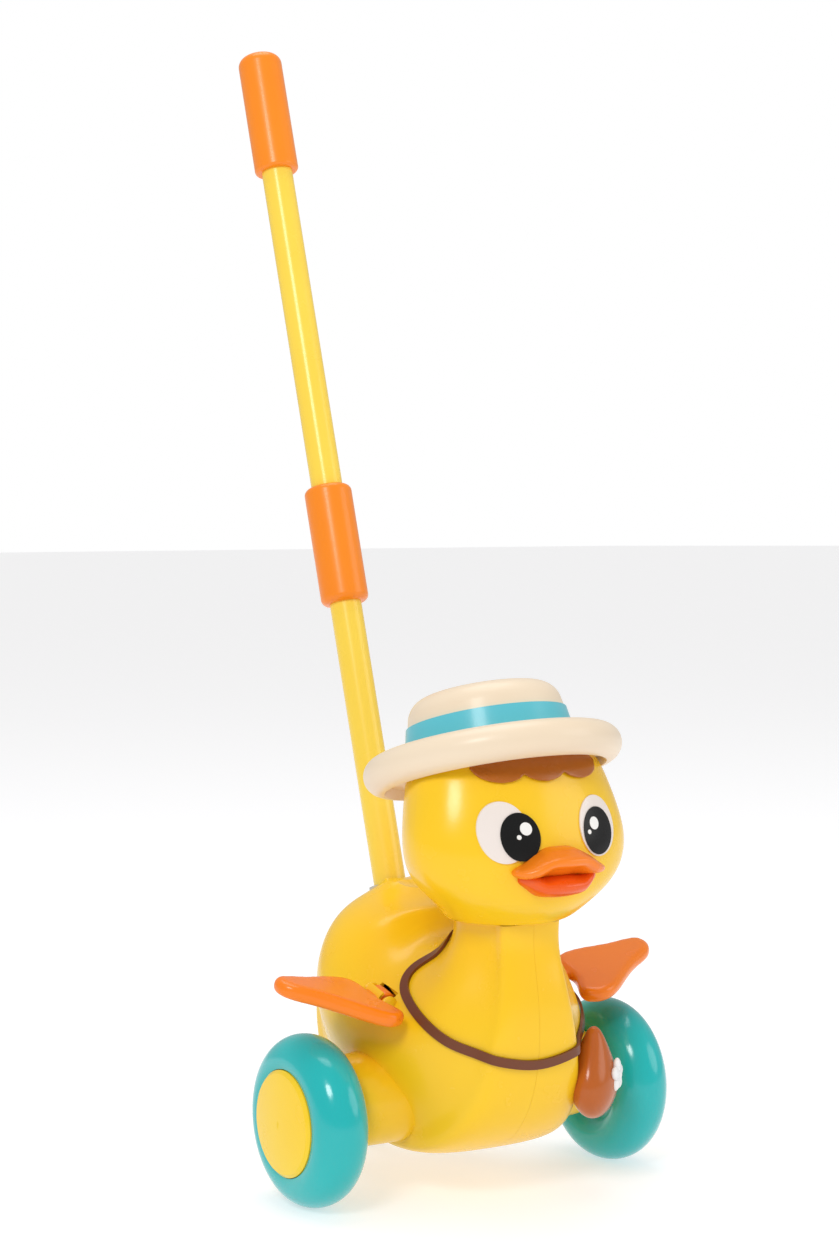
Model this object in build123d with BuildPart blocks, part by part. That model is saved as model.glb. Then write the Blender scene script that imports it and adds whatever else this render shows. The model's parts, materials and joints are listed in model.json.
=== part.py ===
from build123d import *
from math import cos, degrees, radians, sin
import os

os.makedirs("parts", exist_ok=True)

# All sizes are in millimetres. +Z is up, the duck looks along -Y, and +X is its left side.
# The box round the whole toy is centred over the origin, and the floor is z = 0.

# Whole toy
axle_y = -62.17
wheel_radius = 42.0
tyre_centre_x = 89.0
axle_z = wheel_radius

# Fits and gaps
running_gap = 0.08
sliding_gap = 0.25
part_line = 0.4
seam_gap = 0.05
contact_gap = 0.05
side_gap = 0.5
overrun = 5.0
half_turn = 180.0

# Screws
screw_radius = 1.5
screw_head_radius = 3.0
screw_head_height = 2.2

# Hollow body: one bent form, whose outlines fan round a point above the duck's back
body_wall = 2.2
crook_trail = 10.0
crook_z = 146.0
fan_reach = 130.0
body_half_width = 62.0
neck_top = 138.6
neck_lead = 38.0
# Each outline: turn of its plane from straight ahead, near side, far side, half width,
# where it is widest between near and far, and how full its corners are
body_shares = (
    (0.0, 0.177, 0.562, 0.403, 0.50, 0.707),
    (0.12, 0.182, 0.61, 0.42, 0.52, 0.70),
    (0.25, 0.20, 0.825, 0.65, 0.58, 0.695),
    (0.38, 0.175, 0.985, 0.90, 0.54, 0.70),
    (0.50, 0.145, 0.975, 0.985, 0.48, 0.715),
    (0.65, 0.105, 0.91, 0.965, 0.45, 0.72),
    (0.78, 0.105, 0.785, 0.85, 0.45, 0.715),
    (0.90, 0.16, 0.63, 0.61, 0.48, 0.71),
    (1.0, 0.27, 0.42, 0.17, 0.50, 0.707),
)

# Scooped dish in front of the tail's rim
scoop_radius = 26.0
scoop_trail = 42.0
scoop_centre_z = 169.4


def fan_plane(turn):
    """Plane of one outline: its own Y runs from the crook out through the body."""
    angle = turn * half_turn
    ahead = (0, sin(radians(angle)), -cos(radians(angle)))
    return Plane(origin=(0, axle_y + crook_trail, crook_z), x_dir=(1, 0, 0), z_dir=ahead)


def body_form(grow, seam):
    """Left half of the body, moved out by grow, from the seam outwards, with the dish in the tail."""
    last = len(body_shares) - 1
    with BuildPart() as form:
        for number, (turn, near, far, width, widest, full) in enumerate(body_shares):
            if number == last:
                turn = turn + degrees(2 * grow / (near + far) / fan_reach) / half_turn
            inner = near * fan_reach - grow
            outer = far * fan_reach + grow
            half = width * body_half_width + grow
            middle = inner + widest * (outer - inner)
            low = middle - full * (middle - inner)
            high = middle + full * (outer - middle)
            with BuildSketch(fan_plane(turn)):
                with BuildLine():
                    Spline(
                        (seam, inner), (full * half, low), (half, middle),
                        (full * half, high), (seam, outer),
                        tangents=((1, 0), (-1, 0)),
                    )
                    Line((seam, outer), (seam, inner))
                make_face()
        loft()
        with Locations((0, axle_y + scoop_trail, scoop_centre_z)):
            Sphere(scoop_radius - grow, mode=Mode.SUBTRACT)
        with Locations((0, axle_y - fan_reach / 2, neck_top + grow)):
            Box(fan_reach, fan_reach, fan_reach,
                align=(Align.CENTER, Align.CENTER, Align.MIN), mode=Mode.SUBTRACT)
    return form.part


# Head: levels from the part line up into the hat
head_half_width = 59.0
head_depth = 80.0
head_bottom = neck_top + part_line
head_height = 112.0
head_lead = 48.0
head_wall = 2.2
# Each level: height, lead, half width, reach ahead, reach behind
head_shares = (
    (0.0, 0.83, 0.42, 0.31, 0.30),
    (0.05, 0.91, 0.62, 0.37, 0.42),
    (0.13, 0.98, 0.80, 0.41, 0.50),
    (0.22, 1.0, 0.945, 0.425, 0.56),
    (0.33, 1.0, 1.0, 0.425, 0.575),
    (0.45, 0.96, 0.975, 0.415, 0.58),
    (0.58, 0.885, 0.91, 0.395, 0.57),
    (0.70, 0.80, 0.82, 0.36, 0.53),
    (0.85, 0.70, 0.64, 0.28, 0.42),
    (1.0, 0.62, 0.32, 0.14, 0.20),
)


def head_form(grow):
    """Head as one loft of egg-shaped levels, moved out by grow."""
    last = len(head_shares) - 1
    with BuildPart() as form:
        for number, (level, lead, width, ahead, behind) in enumerate(head_shares):
            end = -grow if number == 0 else grow if number == last else 0
            height = head_bottom + level * head_height + end
            centre = (0, axle_y - lead * head_lead)
            half = width * head_half_width + grow
            front = ahead * head_depth + grow
            rear = behind * head_depth + grow
            with BuildSketch(Plane.XY.offset(height)):
                with BuildLine():
                    EllipticalCenterArc(centre, half, rear, 0, arc_size=half_turn)
                    EllipticalCenterArc(centre, half, front, half_turn, arc_size=half_turn)
                make_face()
        loft()
    return form.part


body_outer = body_form(0, seam_gap)
body_inner = body_form(-body_wall, seam_gap)
wall_middle = body_form(-body_wall / 2, seam_gap)
head_outer = head_form(0)
head_inner = head_form(-head_wall)
half_space = 2 * fan_reach


def finish(piece, name):
    """Name a finished piece and write it."""
    piece.part.label = name
    export_step(piece.part, f"parts/{name}.step")


def mirrored(piece):
    """The same piece on the duck's right side."""
    with BuildPart() as other:
        mirror(piece.part, about=Plane.YZ)
    return other


axle_plane = Plane.XZ.offset(-axle_y)
axle_line = Axis((0, axle_y, axle_z), (1, 0, 0))

# Wheels: tyre, carrier and cap, turning with the axle
tyre_inner_radius = 16.0
tyre_half_width = 14.0
tyre_round = 13.0
cap_radius = 25.9
cap_seat = 11.0
cap_rim = 15.9
cap_dome = 2.0
cap_edge = 1.6
cap_gap = 0.4
carrier_half_width = 9.0
carrier_inboard = 12.0
carrier_boss_radius = 9.0
axle_radius = 3.0
axle_end_play = 1.2

with BuildPart() as wheel_tyre_left:
    with BuildSketch(axle_plane):
        with Locations((tyre_centre_x, axle_z + wheel_radius - tyre_round)):
            Ellipse(tyre_half_width, tyre_round)
        with Locations((tyre_centre_x, axle_z + tyre_inner_radius)):
            Rectangle(2 * carrier_half_width, wheel_radius - tyre_round - tyre_inner_radius,
                      align=(Align.CENTER, Align.MIN))
        with Locations((tyre_centre_x + cap_seat, axle_z)):
            Rectangle(tyre_half_width, cap_radius + cap_gap,
                      align=(Align.MIN, Align.MIN), mode=Mode.SUBTRACT)
        with Locations((tyre_centre_x, axle_z)):
            Rectangle(4 * tyre_half_width, 2 * tyre_inner_radius, mode=Mode.SUBTRACT)
    revolve(axis=axle_line)
finish(wheel_tyre_left, "wheel_tyre_left")
wheel_tyre_right = mirrored(wheel_tyre_left)
finish(wheel_tyre_right, "wheel_tyre_right")

with BuildPart() as wheel_carrier_left:
    with BuildSketch(axle_plane):
        with Locations((tyre_centre_x - carrier_half_width, axle_z)):
            Rectangle(carrier_half_width + cap_seat, tyre_inner_radius, align=(Align.MIN, Align.MIN))
        with Locations((tyre_centre_x - carrier_inboard, axle_z)):
            Rectangle(carrier_inboard, carrier_boss_radius, align=(Align.MIN, Align.MIN))
        with Locations((tyre_centre_x + cap_seat - axle_end_play, axle_z)):
            Rectangle(4 * carrier_inboard, axle_radius, align=(Align.MAX, Align.MIN), mode=Mode.SUBTRACT)
    revolve(axis=axle_line)
finish(wheel_carrier_left, "wheel_carrier_left")
wheel_carrier_right = mirrored(wheel_carrier_left)
finish(wheel_carrier_right, "wheel_carrier_right")

with BuildPart() as wheel_cap_left:
    with BuildSketch(axle_plane):
        with BuildLine():
            back = Line((tyre_centre_x + cap_seat, axle_z), (tyre_centre_x + cap_seat, axle_z + cap_radius))
            side = Line(back @ 1, (tyre_centre_x + cap_rim - cap_edge, axle_z + cap_radius))
            edge = Line(side @ 1, (tyre_centre_x + cap_rim, axle_z + cap_radius - cap_edge))
            dome = TangentArc((tyre_centre_x + cap_rim + cap_dome, axle_z), edge @ 1, tangent=(0, 1))
            Line(dome @ 0, back @ 0)
        make_face()
    revolve(axis=axle_line)
finish(wheel_cap_left, "wheel_cap_left")
wheel_cap_right = mirrored(wheel_cap_left)
finish(wheel_cap_right, "wheel_cap_right")

# Wing hinges: the pin leans back, and the wings stand a little raised
wing_hinge_x = 50.0
wing_hinge_lead = 3.35
wing_hinge_z = 99.05
wing_pitch = 15.0
wing_raise = 10.9
wing_up = 14.0
wing_down = 16.0
wing_length = 62.8
wing_width = 42.0
wing_thickness = 8.0
wing_edge = 3.2
tab_width = 12.0
tab_thickness = 3.0
hub_radius = 4.5
pin_radius = 1.5
lever_reach = 14.0
lever_width = 7.0
lever_thickness = 2.5
lever_end_radius = 2.0
lug_thickness = 3.0
lug_half_height = 4.0
# Wing outline: share of the length outwards and of the width rearwards
wing_shares = (
    (0.085, -0.70), (0.20, -0.77), (0.49, -0.56), (0.7643, -0.29), (0.9646, -0.07),
    (0.9646, 0.11), (0.7054, 0.23), (0.42, 0.325), (0.20, 0.275), (0.152, 0.0), (0.12, -0.33),
)

pitch_cos = cos(radians(wing_pitch))
pitch_sin = sin(radians(wing_pitch))
raise_cos = cos(radians(wing_raise))
raise_sin = sin(radians(wing_raise))
wing_plane = Plane(
    origin=(wing_hinge_x, axle_y - wing_hinge_lead, wing_hinge_z),
    x_dir=(raise_cos, -raise_sin * pitch_sin, raise_sin * pitch_cos),
    z_dir=(-raise_sin, -raise_cos * pitch_sin, raise_cos * pitch_cos),
)
hinge_plane = Plane(origin=wing_plane.origin, x_dir=wing_plane.x_dir, z_dir=wing_plane.y_dir)

with BuildPart() as wing_left:
    with BuildSketch(wing_plane):
        with BuildLine():
            Spline(*[(out * wing_length, rear * wing_width) for out, rear in wing_shares], periodic=True)
        make_face()
    extrude(amount=wing_thickness / 2, both=True)
    fillet(wing_left.edges(), wing_edge)
    with BuildSketch(wing_plane):
        Rectangle(wing_length / 2, tab_width, align=(Align.MIN, Align.CENTER))
        Rectangle(lever_reach, lever_width, align=(Align.MAX, Align.CENTER))
    extrude(amount=lever_thickness / 2, both=True)
    with BuildSketch(wing_plane):
        Rectangle(wing_length / 2, tab_width, align=(Align.MIN, Align.CENTER))
    extrude(amount=tab_thickness / 2, both=True)
    with BuildSketch(hinge_plane):
        Circle(hub_radius)
    extrude(amount=tab_width / 2, both=True)
    with BuildSketch(hinge_plane):
        with Locations((-lever_reach, 0)):
            Circle(lever_end_radius)
    extrude(amount=lever_width / 2, both=True)
    with BuildSketch(hinge_plane):
        Circle(pin_radius + running_gap)
    extrude(amount=tab_width, both=True, mode=Mode.SUBTRACT)
finish(wing_left, "wing_left")
wing_right = mirrored(wing_left)
finish(wing_right, "wing_right")

lug_inner = tab_width / 2 + side_gap
lug_outer = lug_inner + lug_thickness
with BuildPart() as wing_pin_left:
    with BuildSketch(hinge_plane):
        Circle(pin_radius)
    extrude(amount=lug_outer, both=True)
finish(wing_pin_left, "wing_pin_left")
wing_pin_right = mirrored(wing_pin_left)
finish(wing_pin_right, "wing_pin_right")

with BuildPart() as wing_lugs:
    with BuildSketch(wing_plane):
        with GridLocations(0, lug_inner + lug_outer, 1, 2):
            Rectangle(body_half_width / 2, lug_thickness, align=(Align.MIN, Align.CENTER))
            Rectangle(2 * lug_half_height, lug_thickness)
    extrude(amount=lug_half_height, both=True)
    add(wall_middle, mode=Mode.INTERSECT)

slot_half = hub_radius + side_gap
with BuildPart() as wing_slot:
    with BuildSketch(wing_plane):
        with Locations((-slot_half, 0)):
            Rectangle(wing_length, tab_width + 2 * side_gap, align=(Align.MIN, Align.CENTER))
    extrude(amount=slot_half, both=True)

# Flapping drive: cranked axle, sliding yoke with slotted ends, and its guide
lifter_up = radians(wing_down) * lever_reach / pitch_cos
lifter_down = radians(wing_up) * lever_reach / pitch_cos
crank_throw = (lifter_up + lifter_down) / 2
crank_pin_half = 4.0
crank_web = 2.5
crank_web_margin = 1.0
yoke_thickness = 6.0
yoke_bar = 3.0
yoke_gap = 0.4
column_depth = 10.0
slot_end_reach = 2.4
slot_clearance = 0.7
fork_lip = 2.5
guide_z = 78.0
guide_thickness = 3.0
guide_depth = 18.0
guide_half_span = 50.0
guide_lug_x = 43.0
guide_lug_height = 5.0
guide_screw_x = 47.0

with BuildPart() as crank_axle:
    with BuildSketch(Plane.YZ):
        with Locations((axle_y, axle_z)):
            Circle(axle_radius)
    extrude(amount=tyre_centre_x + cap_seat - axle_end_play, both=True)
    with BuildSketch(Plane.YZ):
        with Locations((axle_y, axle_z)):
            Circle(crank_throw + axle_radius + crank_web_margin)
    extrude(amount=crank_pin_half + crank_web, both=True)
    with BuildSketch(Plane.YZ):
        with Locations((axle_y, axle_z)):
            Circle(crank_throw + axle_radius + overrun)
        with Locations((axle_y - crank_throw, axle_z)):
            Circle(axle_radius, mode=Mode.SUBTRACT)
    extrude(amount=crank_pin_half, both=True, mode=Mode.SUBTRACT)
finish(crank_axle, "crank_axle")

window_half_width = crank_throw + axle_radius + yoke_gap
window_half_height = window_half_width + max(lifter_up, lifter_down)
lever_end_x = wing_hinge_x - lever_reach * raise_cos
lever_end_y = axle_y - wing_hinge_lead + lever_reach * raise_sin * pitch_sin
lever_end_z = wing_hinge_z - lever_reach * raise_sin * pitch_cos
column_y = axle_y - wing_hinge_lead
fork_half = lever_end_radius + slot_clearance
fork_plane = Plane(
    origin=(0, lever_end_y, lever_end_z), x_dir=(1, 0, 0), z_dir=(0, -pitch_sin, pitch_cos),
)

with BuildPart() as lifter:
    with BuildSketch(Plane.YZ):
        with Locations((axle_y, axle_z)):
            Rectangle(2 * (window_half_width + yoke_bar), 2 * (window_half_height + yoke_bar))
            Rectangle(2 * window_half_width, 2 * window_half_height, mode=Mode.SUBTRACT)
        with Locations((column_y, axle_z + window_half_height)):
            Rectangle(column_depth, lever_end_z - axle_z - window_half_height,
                      align=(Align.CENTER, Align.MIN))
    extrude(amount=yoke_thickness / 2, both=True)
    with BuildSketch(fork_plane):
        Rectangle(2 * (lever_end_x + slot_end_reach), column_depth)
    extrude(amount=fork_half + fork_lip, both=True)
    with BuildSketch(fork_plane):
        with GridLocations(2 * lever_end_x, 0, 2, 1):
            Rectangle(2 * (slot_end_reach + lever_end_radius), 2 * column_depth)
    extrude(amount=fork_half, both=True, mode=Mode.SUBTRACT)
finish(lifter, "lifter")

with BuildPart() as guide_bridge:
    with BuildSketch(Plane.XY.offset(guide_z)):
        with Locations((0, column_y)):
            Rectangle(2 * guide_half_span, guide_depth)
            Rectangle(yoke_thickness + 2 * sliding_gap, column_depth + 2 * sliding_gap, mode=Mode.SUBTRACT)
            with GridLocations(2 * guide_screw_x, 0, 2, 1):
                Circle(screw_radius, mode=Mode.SUBTRACT)
    extrude(amount=guide_thickness)
finish(guide_bridge, "guide_bridge")

with BuildPart() as guide_lugs:
    with BuildSketch(Plane.XY.offset(guide_z - guide_lug_height)):
        with Locations((guide_lug_x, column_y)):
            Rectangle(body_half_width, guide_depth, align=(Align.MIN, Align.CENTER))
        with Locations((guide_screw_x, column_y)):
            Circle(screw_radius, mode=Mode.SUBTRACT)
    extrude(amount=guide_lug_height)
    add(wall_middle, mode=Mode.INTERSECT)

with BuildPart() as guide_screws:
    with BuildSketch(Plane.XY.offset(guide_z + guide_thickness)):
        with Locations((0, column_y)):
            with GridLocations(2 * guide_screw_x, 0, 2, 1):
                Circle(screw_head_radius)
    extrude(amount=screw_head_height)
    with BuildSketch(Plane.XY.offset(guide_z - guide_lug_height)):
        with Locations((0, column_y)):
            with GridLocations(2 * guide_screw_x, 0, 2, 1):
                Circle(screw_radius)
    extrude(amount=guide_lug_height + guide_thickness)
finish(guide_screws, "guide_screws")

# Axle housings: the rounded bosses between the body and the wheels, each with a bush
housing_wall = 2.2
housing_radius = 23.0
housing_nose_radius = 19.0
housing_rise = 7.0
housing_root_x = 32.0
housing_shoulder_x = 60.0
housing_nose_x = 74.5
sleeve_radius = 8.0
sleeve_inner_x = 46.0
bush_radius = 5.5
housing_z = axle_z + housing_rise


def housing_form(grow):
    """Domed boss round the axle, moved out by grow."""
    with BuildPart() as form:
        with BuildSketch(axle_plane):
            with BuildLine():
                low = Line((housing_root_x, housing_z), (housing_nose_x + grow, housing_z))
                nose = Line(low @ 1, (housing_nose_x + grow, housing_z + housing_nose_radius + grow))
                shoulder = (housing_shoulder_x, housing_z + housing_radius + grow)
                bend = TangentArc(shoulder, nose @ 1, tangent=(1, 0))
                top = Line(bend @ 0, (housing_root_x, housing_z + housing_radius + grow))
                Line(top @ 1, low @ 0)
            make_face()
        revolve(axis=Axis((0, axle_y, housing_z), (1, 0, 0)))
    return form.part


housing_outer = housing_form(0)
housing_inner = housing_form(-housing_wall)
with BuildPart() as axle_housing_left:
    add(housing_outer)
    add(housing_inner, mode=Mode.SUBTRACT)
    with BuildSketch(Plane.YZ.offset(sleeve_inner_x)):
        with Locations((axle_y, axle_z)):
            Circle(sleeve_radius)
    extrude(amount=housing_nose_x - sleeve_inner_x)
    with BuildSketch(Plane.YZ.offset(sleeve_inner_x)):
        with Locations((axle_y, axle_z)):
            Circle(bush_radius)
    extrude(amount=body_half_width, mode=Mode.SUBTRACT)
finish(axle_housing_left, "axle_housing_left")
axle_housing_right = mirrored(axle_housing_left)
finish(axle_housing_right, "axle_housing_right")

with BuildPart() as axle_bush_left:
    with BuildSketch(Plane.YZ.offset(sleeve_inner_x)):
        with Locations((axle_y, axle_z)):
            Circle(bush_radius)
            Circle(axle_radius + running_gap, mode=Mode.SUBTRACT)
    extrude(amount=housing_nose_x - sleeve_inner_x)
finish(axle_bush_left, "axle_bush_left")
axle_bush_right = mirrored(axle_bush_left)
finish(axle_bush_right, "axle_bush_right")

# Push handle: socket, two tubes, coupler and grip on one leaning line
handle_lean = 17.4
handle_trail = 25.8
tube_radius = 8.5
tube_wall = 1.2
socket_wall = 2.6
socket_bottom = 76.0
socket_top = 148.0
socket_gap = 0.05
cradle_thickness = 4.0
cradle_inset = 10.0
handle_pin_rise = 18.0
coupler_bottom = 300.8
coupler_top = 365.7
coupler_radius = 12.8
coupler_round = 3.5
coupler_web = 2.0
grip_bottom = 549.0
grip_top = 618.3
grip_radius = 12.1
grip_end = 5.0
grip_round = 5.5
grip_lip = 2.0

handle_plane = Plane(
    origin=(0, axle_y + handle_trail, 0),
    x_dir=(1, 0, 0),
    z_dir=(0, sin(radians(handle_lean)), cos(radians(handle_lean))),
)
socket_radius = tube_radius + socket_gap + socket_wall
coupler_middle = (coupler_bottom + coupler_top) / 2
pin_plane = Plane(
    origin=handle_plane.offset(socket_bottom + handle_pin_rise).origin,
    x_dir=handle_plane.y_dir,
    z_dir=(1, 0, 0),
)

with BuildPart() as handle_socket:
    with BuildSketch(handle_plane.offset(socket_bottom)):
        Circle(socket_radius)
        Circle(tube_radius + socket_gap, mode=Mode.SUBTRACT)
    extrude(amount=socket_top - socket_bottom)
    with BuildSketch(pin_plane):
        Circle(pin_radius)
    extrude(amount=2 * socket_radius, both=True, mode=Mode.SUBTRACT)
finish(handle_socket, "handle_socket")

with BuildPart() as handle_pin:
    with BuildSketch(pin_plane):
        Circle(pin_radius)
    extrude(amount=socket_radius, both=True)
finish(handle_pin, "handle_pin")

with BuildPart() as lower_tube:
    with BuildSketch(handle_plane.offset(socket_bottom)):
        Circle(tube_radius)
        Circle(tube_radius - tube_wall, mode=Mode.SUBTRACT)
    extrude(amount=coupler_middle - coupler_web / 2 - socket_bottom)
    with BuildSketch(pin_plane):
        Circle(pin_radius)
    extrude(amount=2 * socket_radius, both=True, mode=Mode.SUBTRACT)
finish(lower_tube, "lower_tube")

with BuildPart() as tube_coupler:
    with BuildSketch(handle_plane.offset(coupler_bottom)):
        Circle(coupler_radius)
    extrude(amount=coupler_top - coupler_bottom)
    fillet(tube_coupler.edges(), coupler_round)
    with BuildSketch(handle_plane.offset(coupler_bottom)):
        Circle(tube_radius)
    extrude(amount=coupler_middle - coupler_web / 2 - coupler_bottom, mode=Mode.SUBTRACT)
    with BuildSketch(handle_plane.offset(coupler_middle + coupler_web / 2)):
        Circle(tube_radius)
    extrude(amount=coupler_top - coupler_middle, mode=Mode.SUBTRACT)
finish(tube_coupler, "tube_coupler")

with BuildPart() as upper_tube:
    with BuildSketch(handle_plane.offset(coupler_middle + coupler_web / 2)):
        Circle(tube_radius)
        Circle(tube_radius - tube_wall, mode=Mode.SUBTRACT)
    extrude(amount=grip_top - grip_end - coupler_middle - coupler_web / 2)
finish(upper_tube, "upper_tube")

with BuildPart() as hand_grip:
    with BuildSketch(handle_plane.offset(grip_bottom)):
        Circle(grip_radius)
    extrude(amount=grip_top - grip_bottom)
    grip_ends = hand_grip.edges().sort_by(Axis.Z)
    fillet(grip_ends[-1], grip_round)
    fillet(hand_grip.edges().sort_by(Axis.Z)[0], grip_lip)
    with BuildSketch(handle_plane.offset(grip_bottom)):
        Circle(tube_radius)
    extrude(amount=grip_top - grip_end - grip_bottom, mode=Mode.SUBTRACT)
finish(hand_grip, "hand_grip")

# Body shells: two halves that meet on the middle plane
post_radius = 6.0
post_flange_radius = 10.0
post_flange = 3.0
boss_radius = 6.0
boss_solid_radius = 4.5
boss_face = 8.0
body_screw_length = 20.0
screw_well_gap = 0.4
# Screw places: share of the reach ahead of or behind the axle, and share of the crook's height
boss_shares = ((-0.36, 0.45), (0.62, 0.58), (0.25, 0.29), (-0.34, 0.78))
boss_places = [(axle_y + reach * fan_reach, level * crook_z) for reach, level in boss_shares]

with BuildPart() as handle_cradles:
    for height in (socket_bottom + cradle_inset, socket_top - 3 * cradle_inset):
        with BuildSketch(handle_plane.offset(height)):
            Rectangle(half_space, 2 * socket_radius + 4 * cradle_thickness)
            Circle(socket_radius, mode=Mode.SUBTRACT)
        extrude(amount=cradle_thickness)
    add(wall_middle, mode=Mode.INTERSECT)

with BuildPart() as handle_hole:
    with BuildSketch(handle_plane.offset(socket_bottom)):
        Circle(socket_radius)
    extrude(amount=socket_top)

with BuildPart() as shell_half:
    add(body_outer)
    add(body_inner, mode=Mode.SUBTRACT)
    add(handle_cradles.part)
    add(wing_lugs.part)
    add(guide_lugs.part)
    add(handle_hole.part, mode=Mode.SUBTRACT)
    add(housing_outer, mode=Mode.SUBTRACT)
    add(wing_slot.part, mode=Mode.SUBTRACT)
    add(wing_pin_left.part, mode=Mode.SUBTRACT)
    with BuildSketch(Plane.XY.offset(neck_top)):
        with Locations((0, axle_y - neck_lead)):
            Circle(post_radius)
    extrude(amount=-2 * body_wall, mode=Mode.SUBTRACT)
shell_half_right = mirrored(shell_half)

with BuildPart() as left_bosses:
    with BuildSketch(Plane.YZ.offset(seam_gap)):
        with Locations(*boss_places):
            Circle(boss_radius)
    extrude(amount=body_half_width)
    add(wall_middle, mode=Mode.INTERSECT)

with BuildPart() as body_shell_left:
    add(shell_half.part)
    add(left_bosses.part)
    with BuildSketch(Plane.YZ):
        with Locations(*boss_places):
            Circle(screw_radius)
    extrude(amount=boss_face, mode=Mode.SUBTRACT)
    with BuildSketch(Plane.YZ.offset(boss_face)):
        with Locations(*boss_places):
            Circle(screw_head_radius + screw_well_gap)
    extrude(amount=body_half_width, mode=Mode.SUBTRACT)
finish(body_shell_left, "body_shell_left")

with BuildPart() as right_bosses:
    with BuildSketch(Plane.YZ.offset(seam_gap)):
        with Locations(*boss_places):
            Circle(boss_solid_radius)
    extrude(amount=body_half_width)
    add(wall_middle, mode=Mode.INTERSECT)
    with BuildSketch(Plane.YZ):
        with Locations(*boss_places):
            Circle(screw_radius)
    extrude(amount=body_screw_length - boss_face, mode=Mode.SUBTRACT)
right_bosses_placed = mirrored(right_bosses)

with BuildPart() as body_shell_right:
    add(shell_half_right.part)
    add(right_bosses_placed.part)
finish(body_shell_right, "body_shell_right")

with BuildPart() as body_screws:
    with BuildSketch(Plane.YZ.offset(boss_face)):
        with Locations(*boss_places):
            Circle(screw_head_radius)
    extrude(amount=screw_head_height)
    with BuildSketch(Plane.YZ.offset(boss_face)):
        with Locations(*boss_places):
            Circle(screw_radius)
    extrude(amount=-body_screw_length)
finish(body_screws, "body_screws")

# Rear roller under the tail, on its bracket and pin
roller_trail = 104.0
roller_radius = 11.0
roller_half_width = 4.5
roller_edge = 1.5
roller_pin_radius = 2.0
bracket_root_trail = 60.0
bracket_root_z = 46.0
bracket_root_radius = 13.0
bracket_eye_radius = 6.0
bracket_cheek = 3.0
roller_room = 2.0
bracket_half_width = roller_half_width + side_gap + bracket_cheek
body_seat = body_form(contact_gap, 0)
body_seat_right = mirror(body_seat, about=Plane.YZ)

with BuildPart() as rear_bracket:
    with BuildSketch(Plane.YZ):
        with Locations((axle_y + bracket_root_trail, bracket_root_z)):
            Circle(bracket_root_radius)
        with Locations((axle_y + roller_trail, roller_radius)):
            Circle(bracket_eye_radius)
        make_hull()
    extrude(amount=bracket_half_width, both=True)
    with BuildSketch(Plane.YZ):
        with Locations((axle_y + roller_trail, roller_radius)):
            Circle(roller_radius + roller_room)
    extrude(amount=roller_half_width + side_gap, both=True, mode=Mode.SUBTRACT)
    with BuildSketch(Plane.YZ):
        with Locations((axle_y + roller_trail, roller_radius)):
            Circle(roller_pin_radius)
    extrude(amount=bracket_half_width, both=True, mode=Mode.SUBTRACT)
    add(body_seat, mode=Mode.SUBTRACT)
    add(body_seat_right, mode=Mode.SUBTRACT)
finish(rear_bracket, "rear_bracket")

with BuildPart() as rear_roller:
    with BuildSketch(Plane.YZ):
        with Locations((axle_y + roller_trail, roller_radius)):
            Circle(roller_radius)
    extrude(amount=roller_half_width, both=True)
    fillet(rear_roller.edges(), roller_edge)
    with BuildSketch(Plane.YZ):
        with Locations((axle_y + roller_trail, roller_radius)):
            Circle(roller_pin_radius + running_gap)
    extrude(amount=roller_half_width, both=True, mode=Mode.SUBTRACT)
finish(rear_roller, "rear_roller")

with BuildPart() as rear_pin:
    with BuildSketch(Plane.YZ):
        with Locations((axle_y + roller_trail, roller_radius)):
            Circle(roller_pin_radius)
    extrude(amount=bracket_half_width, both=True)
finish(rear_pin, "rear_pin")

# Neck bearing: post under the neck's cap, head base above it, washer and screw
base_radius = 20.0
base_thickness = 4.0
base_hub_radius = 10.0
base_hub_height = 9.0
washer_gap = 0.3
washer_thickness = 1.5
washer_radius = 9.0
neck_screw_length = 12.0
neck_y = axle_y - neck_lead
post_top = head_bottom + base_hub_height + washer_gap

with BuildPart() as neck_post:
    with BuildSketch(Plane.XY.offset(neck_top - body_wall)):
        with Locations((0, neck_y)):
            Circle(post_flange_radius)
    extrude(amount=-post_flange)
    with BuildSketch(Plane.XY.offset(neck_top - body_wall)):
        with Locations((0, neck_y)):
            Circle(post_radius)
    extrude(amount=post_top - neck_top + body_wall)
    with BuildSketch(Plane.XY.offset(post_top)):
        with Locations((0, neck_y)):
            Circle(screw_radius)
    extrude(amount=-neck_screw_length, mode=Mode.SUBTRACT)
finish(neck_post, "neck_post")

with BuildPart() as head_base:
    with BuildSketch(Plane.XY.offset(head_bottom)):
        with Locations((0, neck_y)):
            Circle(base_radius)
    extrude(amount=base_thickness)
    with BuildSketch(Plane.XY.offset(head_bottom)):
        with Locations((0, neck_y)):
            Circle(base_hub_radius)
    extrude(amount=base_hub_height)
    with BuildSketch(Plane.XY.offset(head_bottom)):
        with Locations((0, neck_y)):
            Circle(post_radius + running_gap)
    extrude(amount=base_hub_height, mode=Mode.SUBTRACT)
finish(head_base, "head_base")

with BuildPart() as neck_washer:
    with BuildSketch(Plane.XY.offset(post_top)):
        with Locations((0, neck_y)):
            Circle(washer_radius)
            Circle(screw_radius, mode=Mode.SUBTRACT)
    extrude(amount=washer_thickness)
finish(neck_washer, "neck_washer")

with BuildPart() as neck_screw:
    with BuildSketch(Plane.XY.offset(post_top + washer_thickness)):
        with Locations((0, neck_y)):
            Circle(screw_head_radius)
    extrude(amount=screw_head_height)
    with BuildSketch(Plane.XY.offset(post_top + washer_thickness)):
        with Locations((0, neck_y)):
            Circle(screw_radius)
    extrude(amount=-neck_screw_length - washer_thickness)
finish(neck_screw, "neck_screw")

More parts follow.
